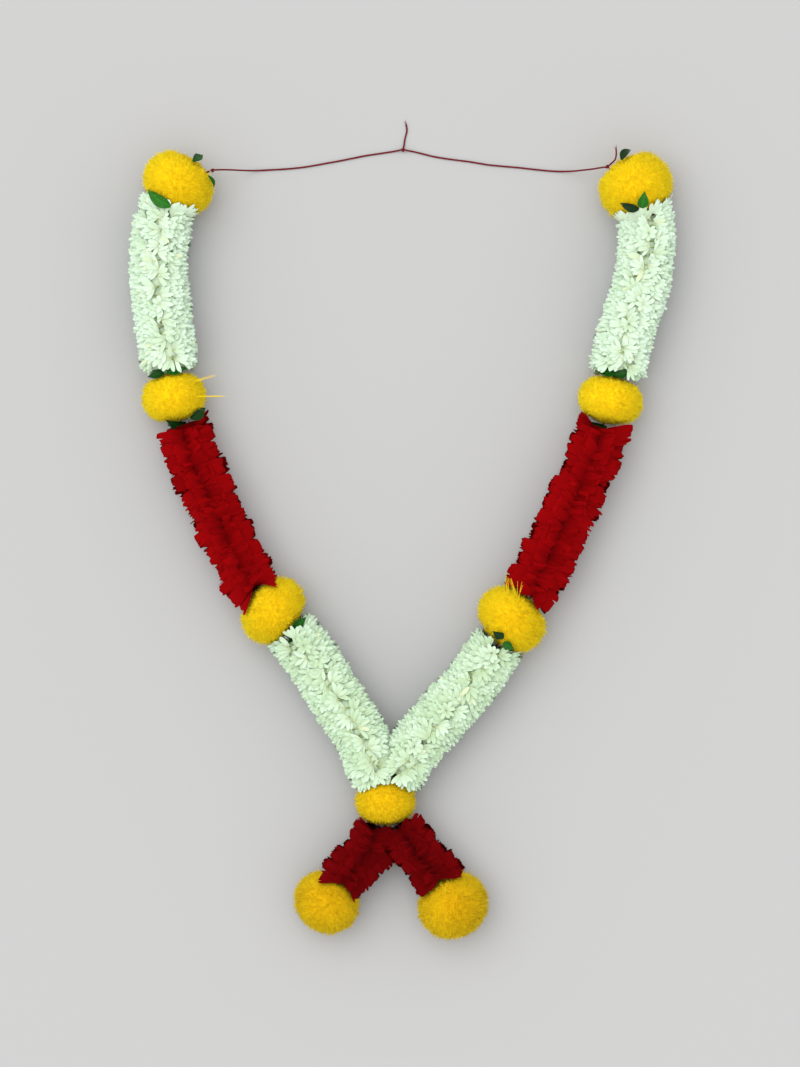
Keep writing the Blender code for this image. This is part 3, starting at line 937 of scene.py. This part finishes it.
def lay_blossoms(strand):
    """Where the blossoms of a strand start, and which way they point and face.

    Blossoms are tied in on both sides of the thread, so their petals fan out to the
    sides, and those above and below lie along the bunch. A few face straight out.
    """
    rng, radius = strand.rng, strand.radius
    first, last = blossom_ends(strand)
    rings = round((last - first) / BLOSSOM_PITCH)
    in_ring = round(2 * math.pi * radius * 0.9 / BLOSSOM_PITCH)
    s, turn = np.meshgrid(
        first + (np.arange(rings) + 0.5) * (last - first) / rings,
        2 * math.pi * np.arange(in_ring) / in_ring,
        indexing="ij",
    )
    turn = (turn + np.arange(rings)[:, None] * math.pi / in_ring).ravel()
    s = s.ravel() + rng.normal(0, 1.3, turn.size)
    turn = turn + rng.normal(0, 0.07, len(s))

    place, ahead, across, up = strand.frame(s)
    cos, sin = np.cos(turn)[:, None], np.sin(turn)[:, None]
    out = across * cos + up * sin
    steep = np.abs(sin)
    half = np.where(sin < 0, -1.0, 1.0)
    hand = np.where(cos + rng.normal(0, 0.2, len(s))[:, None] * steep < 0, -1.0, 1.0)
    depth = radius * (1 - WHITE_GROUND) * steep + SIDE_ROOT * (1 - steep)
    root = place + out * (radius - depth + rng.normal(0, 0.4, (len(s), 1)))
    tangent = hand * across * steep - half * up * np.abs(cos)
    way = unit(tangent * steep + out * (1.2 * (1 - steep) + 0.17))
    way = unit(way + ahead * (leaning(strand, s) + rng.normal(0.12, 0.35, len(s)))[:, None])
    face = out * steep + half * up * (1 - steep)
    face = unit(face - way * (face * way).sum(1, keepdims=True))
    full = (steep[:, 0] > 0.5) & (rng.random(len(s)) < FULL_FLOWERS)
    keep = (out[:, 2] > -0.85) & in_place(strand, root)
    shade = rng.uniform(0.25, 0.75, len(s)) - LOWER_SHADE * strand.lower
    return SimpleNamespace(
        place=place,
        ahead=ahead,
        steep=steep[:, 0],
        root=root,
        way=way,
        face=face,
        full=full,
        keep=keep,
        shade=shade,
        bunch=strand.bunch_of(s),
    )


def add_petals(grids, strand, blossoms, k, full):
    """The fans of one bunch, or its blossoms that face straight out."""
    rng = strand.rng
    mine = np.flatnonzero(blossoms.keep & (blossoms.bunch == k) & (blossoms.full == full))
    petals = FULL_FLOWER if full else FAN
    spread_to = math.pi * (1 - 1 / petals) if full else FAN_SPREAD
    angle = np.tile(np.linspace(-spread_to, spread_to, petals), len(mine))
    angle = angle + rng.normal(0, 0.10, len(angle))
    each = np.repeat(mine, petals)
    steep = blossoms.steep[each]
    angle = angle * (1 if full else 0.4 + 0.6 * steep)
    way, face = blossoms.way[each], blossoms.face[each]
    way = way * np.cos(angle)[:, None] + np.cross(face, way) * np.sin(angle)[:, None]
    length = PETAL_LENGTH * rng.uniform(0.8, 1.1, len(each)) * (0.68 if full else 1.0)
    # The middle petals of a fan lie over the ones beside them.
    layer = 1.1 * np.cos(angle) * (not full) + (2.2 if full else 0.2)
    layer = (layer + rng.uniform(-0.3, 0.5, len(each)))[:, None]
    root = blossoms.root[each] + face * layer + way * 0.6
    width = PETAL_WIDTH * rng.uniform(0.85, 1.15, len(each)) * (0.55 + 0.45 * steep)
    grid = petal_grid(root, way, face, length, width, 0.30 if full else 0.04, rng)
    grid, normals = settled(strand, grid, blossoms.place[each], blossoms.ahead[each], PETAL_GLOW)
    tint = blossoms.shade[each] + 0.1 * full + rng.normal(0, 0.1, len(each))
    tint = np.where(rng.random(len(each)) < CREAM_PETALS, 1.0, tint.clip(0, 0.9))
    grids.add(grid, tint, normals=normals)


def lay_bristles(strand):
    """The fine petals that stand out of a strand's two sides."""
    rng, radius = strand.rng, strand.radius
    total = BRISTLES * strand.count
    s = rng.uniform(*blossom_ends(strand), total)
    turn = math.pi * rng.integers(0, 2, total) + rng.normal(0, 0.5, total)
    place, ahead, across, up = strand.frame(s)
    out = across * np.cos(turn)[:, None] + up * np.sin(turn)[:, None]
    way = out + ahead * (leaning(strand, s) + rng.normal(0, 0.08, total))[:, None]
    way = unit(way + rng.normal(0, 0.05, (total, 3)))
    root = place + out * radius * BRISTLE_ROOT
    tip = root + way * (radius * rng.uniform(0.22, 0.36, total))[:, None]
    grid = bristle_grid(root, tip, rng.uniform(0.9, 1.5, total), rng)
    bunch = np.where(in_place(strand, tip), strand.bunch_of(s), -1)
    return SimpleNamespace(place=place, ahead=ahead, grid=grid, bunch=bunch)


def add_bristles(grids, strand, bristles, k):
    mine = bristles.bunch == k
    grid, normals = settled(
        strand, bristles.grid[mine], bristles.place[mine], bristles.ahead[mine], BRISTLE_GLOW
    )
    tint = strand.rng.uniform(0.3, 0.9, mine.sum())
    grids.add(grid, tint, along=np.array([0.3, 0.7, 1.0]), normals=normals)


def add_calyxes(grids, strand, blossoms, k):
    """The green tube of each blossom that lies in the open."""
    lying = ~blossoms.full & (blossoms.steep > 0.6)
    mine = np.flatnonzero(blossoms.keep & (blossoms.bunch == k) & lying)
    way, face = blossoms.way[mine], blossoms.face[mine]
    spine = blossoms.root[mine][:, None] + way[:, None] * np.array([-3.5, 0.0, 2.0])[None, :, None]
    spine = spine + face[:, None] * np.array([-0.6, 0.5, 1.2])[None, :, None]
    one, two = square_to(way)
    angle = 2 * math.pi * np.arange(CALYX_SIDES)[None, :, None] / CALYX_SIDES
    ring = (one[:, None] * np.cos(angle) + two[:, None] * np.sin(angle))[:, None]
    tube = spine[:, :, None] + ring * np.array([0.6, 0.9, 1.2])[None, :, None, None]
    normals = unit(ring + 0 * tube)
    for head in strand.heads:
        tube = outside(tube, head, 1.0)
    tint = strand.rng.uniform(0.2, 1.0, len(mine))
    grids.add(on_surface(tube), tint, kind=1, closed=True, normals=normals)


def add_white_strand(strand):
    blossoms = lay_blossoms(strand)
    bristles = lay_bristles(strand)
    for k in range(strand.count):
        grids = Grids(kinds=2)
        strand.add_core(grids, k, WHITE_GROUND, 0.3)
        add_petals(grids, strand, blossoms, k, False)
        add_petals(grids, strand, blossoms, k, True)
        add_bristles(grids, strand, bristles, k)
        add_calyxes(grids, strand, blossoms, k)
        grids.piece(f"{strand.name}_{k + 1}", "blossom_white", [WHITE, CALYX])


# ---------------------------------------------------------------- red petals

PLATE_PITCH = 7.5
PLATE_WIDTH = 16.0
RED_ROWS, RED_COLUMNS = 10, 19
# Where a layer's petals start and end beside the thread, and how high they are in the strand's
# middle and at their outer edge, in parts of its radius, and how bright they are, which is painted
# shade: the layers underneath and those over the strand's middle are darker.
RED_LAYERS = (
    (-0.14, 0.97, 0.95, 0.48, 0.78),
    (-0.08, 0.88, 0.80, 0.22, 0.62),
    (0.20, 0.84, 0.45, 0.02, 0.55),
    (-0.32, 0.44, 0.99, 0.88, 0.28),
    (-0.10, 0.56, 1.00, 0.80, 0.45),
)
RED_GROUND = 0.74  # of the radius
RED_GLOW = 0.5
SLITS = 0.14  # how often an edge is slit, at each point along it
SLIT_DEPTH = 0.13
END_ROOM = (0.0, 8.0)  # of petals past a strand's ends
TASSEL_END_ROOM = (3.0, 15.0)


def tab_outline(length, rng):
    """How far out the petals of one side reach, in tabs parted by narrow notches."""
    where, reach = [-40.0], [1.0]
    gap = rng.uniform(2, 10)
    while gap < length:
        level = rng.uniform(0.90, 1.07)
        notch = rng.uniform(0.80, 0.86)
        where += [gap - 1.3, gap - 0.5, gap + 0.5, gap + 1.3]
        reach += [reach[-1], notch, notch, level]
        gap += rng.uniform(10, 17)
    return where + [length + 40.0], reach + [reach[-1]]


def lay_plates(strand):
    """Where a red strand's petals are tied in, and the sizes of each.

    half is 1 for those above the thread and -1 for those under it, and hand is the same
    for its two sides.
    """
    rng, radius = strand.rng, strand.radius
    before, after = TASSEL_END_ROOM if "tassel" in strand.name else END_ROOM
    first = strand.start - before + 0.42 * PLATE_WIDTH
    last = strand.end + after - 0.42 * PLATE_WIDTH
    gaps = round((last - first) / PLATE_PITCH)
    places = first + (last - first) * np.arange(gaps + 1) / gaps
    rows = product(RED_LAYERS, (1, -1), (1, -1), places)
    rows = np.array([(s, half, hand, *layer) for layer, half, hand, s in rows])
    s, half, hand, near, far, crest, hem, tint = rows.T
    n = len(s)
    under = PLATE_WIDTH * 0.6 * (half < 0)  # those underneath stay clear of the heads
    low, high = np.maximum(first, strand.start + under), np.minimum(last, strand.end - under)
    return SimpleNamespace(
        s=np.clip(s + rng.normal(0, 2.0, n), low, high),
        half=half,
        hand=hand,
        far=radius * far * rng.uniform(0.92, 1.08, n),
        near=radius * (near + rng.normal(0, 0.05, n)),
        crest=radius * crest * rng.uniform(0.96, 1.03, n),
        hem=radius * (hem + rng.normal(0, 0.05, n)),
        width=PLATE_WIDTH * rng.uniform(0.8, 1.15, n),
        skew=rng.normal(0, 0.3, n),
        tint=tint,
    )


def plate_grid(strand, plates):
    """Broad velvet petals from the middle of a strand to its side, arched over it."""
    rng = strand.rng
    outlines = [tab_outline(strand.end - strand.start, rng) for _ in (1, -1)]
    n = len(plates.s)
    u = np.linspace(0, 1, RED_ROWS)
    v = np.linspace(-1, 1, RED_COLUMNS)
    s, hand, near, far, crest, hem, width, skew = (
        getattr(plates, key)[:, None, None]
        for key in ("s", "hand", "near", "far", "crest", "hem", "width", "skew")
    )
    outline = np.interp(u, [0, 0.3, 0.65, 0.9, 1.0], [0.6, 0.85, 1.0, 1.0, 0.94])
    across = outline[None, :, None] * width / 2 * v[None, None, :]
    # The outer edge is cut into blunt tabs by short slits, with rounded corners.
    slit = rng.random((n, RED_COLUMNS)) < SLITS
    slit[:, 1:] &= ~slit[:, :-1]
    depth = SLIT_DEPTH * slit + 0.07 * np.abs(v) ** 5 + 0.012 * rng.normal(0, 1, (n, RED_COLUMNS))
    depth = depth + 0.035 * np.sin(2.4 * np.cumsum(slit, 1) + rng.uniform(0, 6, (n, 1)))
    run = u[None, :, None] * (1 - depth[:, None, :] * smoothstep(0.6, 1.0, u)[None, :, None])
    x = near + (far - near) * run
    z = crest + (hem - crest) * np.clip(x / far, 0, 1) ** 2.2 - 0.4 * np.maximum(-x, 0)
    phase = rng.uniform(0, 2 * math.pi, (n, 1, 1))
    folds = rng.uniform(0.6, 2.4, (n, 1, 1))
    wave = np.sin(folds * math.pi * v[None, None, :] + phase + 1.5 * u[None, :, None])
    ruffle = np.where(far < 0.7 * far.max(), 1.6, 1.0) * rng.uniform(0.4, 1.5, (n, 1, 1))
    z = z + ruffle * wave * (0.4 + 0.6 * u[None, :, None])
    z = z + rng.uniform(-1.6, 0.2, (n, 1, 1)) * (v**4)[None, None]
    forward = across + skew * (x - near)
    low, high = strand.start - s, strand.end - s
    left, right = (np.interp(forward - low, *tabs) for tabs in outlines)
    tab = np.where(hand > 0, left, right)
    x = x * (1 + (tab - 1) * smoothstep(0.45, 0.85, x / strand.radius))
    beyond = np.maximum(np.maximum(low - forward, forward - high), 0)
    z = z * (1 - 0.08 * smoothstep(0, 14, beyond))
    place, ahead, side, up = strand.frame(plates.s)
    grid = (
        place[:, None, None]
        + (side * plates.hand[:, None])[:, None, None] * x[..., None]
        + (up * plates.half[:, None])[:, None, None] * z[..., None]
        + ahead[:, None, None] * forward[..., None]
    )
    for head in strand.heads:
        grid = outside(over(grid, head, 3.4), head, 2.0)
    grid = on_surface(grid)
    return faced(grid, unit(from_thread(grid, place, ahead)), RED_GLOW)


def add_red_strand(strand):
    slot, material = ("tassel_red", DARK_RED) if "tassel" in strand.name else ("petal_red", RED)
    plates = lay_plates(strand)
    grid, normals = plate_grid(strand, plates)
    tint = np.clip(plates.tint + strand.rng.normal(0, 0.2, len(grid)), 0, 1)
    bunch = strand.bunch_of(plates.s)
    for k in range(strand.count):
        grids = Grids()
        # The core takes its colour from low on the ramp: painted shade between the petals.
        strand.add_core(grids, k, RED_GROUND, 0.2)
        mine = bunch == k
        grids.add(grid[mine], tint[mine], normals=normals[mine])
        grids.piece(f"{strand.name}_{k + 1}", slot, [material])


# ---------------------------------------------------------------- leaves

LEAF_ROWS, LEAF_COLUMNS = 12, 9
# Each collar is its head, which side of it the collar is on (1 is towards the top of its
# thread) and the leaves that show: foot x, y and tip x, y, width and how bright it is.
COLLARS = {
    "leaves_top_left_outer": (
        "top_left", 1,
        ((-168, 303, -160, 311, 7, 0.6), (-157, 293, -153, 285, 3.5, 0.7)),
    ),
    "leaves_top_left_inner": (
        "top_left", -1,
        ((-184, 270, -201.5, 283, 10, 1.0), (-190, 266, -180, 261, 6, 0.1)),
    ),
    "leaves_upper_left_outer": (
        "upper_left", 1,
        ((-190, 135, -204, 133, 8, 0.5), (-188, 135, -172, 140.5, 9, 0.9)),
    ),
    "leaves_upper_left_inner": (
        "upper_left", -1,
        ((-174, 97, -189, 101, 9, 0.25), (-171, 102, -158, 109, 9, 0.3)),
    ),
    "leaves_lower_left_outer": ("lower_left", 1, ()),
    "leaves_lower_left_inner": (
        "lower_left", -1,
        ((-89, -67, -77, -58, 9, 0.7), (-88, -69, -92, -80, 7, 0.3)),
    ),
    "leaves_top_right_outer": ("top_right", 1, ((174.5, 304, 182.5, 313.5, 7, 0.15),)),
    "leaves_top_right_inner": (
        "top_right", -1,
        ((189, 268, 191, 280, 9, 0.95), (187, 267, 173, 272, 7, 0.12)),
    ),
    "leaves_upper_right_outer": (
        "upper_right", 1,
        ((171, 133.5, 153, 138.5, 9, 0.75), (168, 133.5, 184, 137.5, 9, 0.6)),
    ),
    "leaves_upper_right_inner": (
        "upper_right", -1,
        ((163, 95, 150, 99, 8, 0.15), (166, 94, 178, 97, 7, 0.15)),
    ),
    "leaves_lower_right_outer": ("lower_right", 1, ((103, -42, 111, -46, 6, 0.15),)),
    "leaves_lower_right_inner": (
        "lower_right", -1,
        ((80, -74, 71, -69, 8, 0.2), (80, -77, 88.5, -84, 8, 0.75)),
    ),
    "leaves_centre_upper": (
        "centre", 1,
        ((-9, -181, -3, -192, 8, 0.6), (-12, -182, -18, -190, 7, 0.15)),
    ),
    "leaves_centre_lower": (
        "centre", -1,
        ((-17, -229, -6, -226.5, 7, 0.4), (-12, -230, -22, -226, 6, 0.2)),
    ),
}
TIP_LIFT = 10.0  # of a leaf that lies on the end of a white strand
HIDDEN_LEAVES = 3  # in each collar that has a strand beside it, under its head
LEAF_CLEARANCE = 2.0  # from its head
LEAF_BULGE = 1.4
LEAF_CUP = 1.0
VEINS = 14  # half waves of veins along a leaf
VEIN_HEIGHT = 0.14


def leaf_grid(foot, tip, head, width, rng):
    """A pointed leaf from foot to tip, lying on the outside of a head."""
    u = np.linspace(0, 1, LEAF_ROWS)[:, None]
    spine = outside(foot * (1 - u) + tip * u, head, LEAF_CLEARANCE)
    clear = unit(unit(spine - head_centre(head)) + UP)
    ahead = unit(np.gradient(spine, axis=0))
    side = unit(np.cross(ahead, clear))
    face = np.cross(side, ahead)
    spine = spine + face * (LEAF_BULGE * np.sin(math.pi * u))
    outline = np.sin(math.pi * u[:, 0] ** 0.72) ** 1.1
    outline = np.maximum(outline, np.interp(u[:, 0], [0, 0.3, 1], [0.25, 0.0, 0.02]))
    v = np.linspace(-1, 1, LEAF_COLUMNS)
    half = width / 2 * outline[:, None] * v
    veins = np.sin(VEINS * (u - 0.5 * np.abs(v)) * math.pi)
    lift = (LEAF_CUP * np.abs(v) ** 1.3 + VEIN_HEIGHT * veins * (1 - np.abs(v))) * outline[:, None]
    lift = lift + 0.3 * rng.normal() * np.sin(3 * u + 2 * v)
    grid = spine[:, None] + side[:, None] * half[..., None] + face[:, None] * lift[..., None]
    # The rib and the veins are paler than the blade.
    pale = np.maximum(np.exp(-((v / 0.12) ** 2))[None], 0.45 * (veins > 0.75))
    return on_surface(grid)[None], pale


def add_leaves(name):
    head, sign, shown = COLLARS[name]
    rng = dice(name)
    centre, axes, radii = head_centre(head), head_axes(head), head_radii(head)
    grids = Grids()
    blades = []
    beside_white = head.startswith("upper") and sign > 0 or head.startswith("lower") and sign < 0
    lift = TIP_LIFT if beside_white else 0.0
    for foot_x, foot_y, tip_x, tip_y, width, tint in shown:
        foot = np.array([foot_x, foot_y, over_head(foot_x, foot_y, head)])
        tip = np.array([tip_x, tip_y, over_head(tip_x, tip_y, head) + lift])
        blades.append((foot, tip, width, tint))
    hidden = 0 if name.startswith("leaves_top") and sign > 0 else HIDDEN_LEAVES
    for i in range(hidden):
        angle = math.pi * (1.3 + 0.4 * i / (HIDDEN_LEAVES - 1))
        way = axes[1] * math.cos(angle) + axes[2] * math.sin(angle)
        foot = centre - sign * axes[0] * radii[0] + way * 2.0
        tip = centre - sign * axes[0] * radii[0] * 0.88 + way * radii[1] * 0.55
        blades.append((foot, tip, rng.uniform(7, 9), rng.uniform(0.1, 0.5)))
    for foot, tip, width, tint in blades:
        grid, pale = leaf_grid(foot, tip, head, width, rng)
        grids.add(grid, tint, along=pale)
    grids.piece(name, "leaf_green", [LEAF])


# ---------------------------------------------------------------- assembly

for head in HEADS:
    add_head(head)
for side, layout in SIDES.items():
    route = side_route(side)
    reach = [route.distance_to(head_centre(head)) for head in layout["heads"]]
    for i, (name, across, count, _) in enumerate(layout["strands"]):
        heads = layout["heads"][i : i + 2]
        start = reach[i] + HEADS[heads[0]][3] / 2 + STRAND_GAP
        end = reach[i + 1] - HEADS[heads[1]][3] / 2 - STRAND_GAP
        strand = Strand(name, side, route, across, count, start, end, heads)
        if name.startswith("white"):
            add_white_strand(strand)
        else:
            add_red_strand(strand)
for name in COLLARS:
    add_leaves(name)
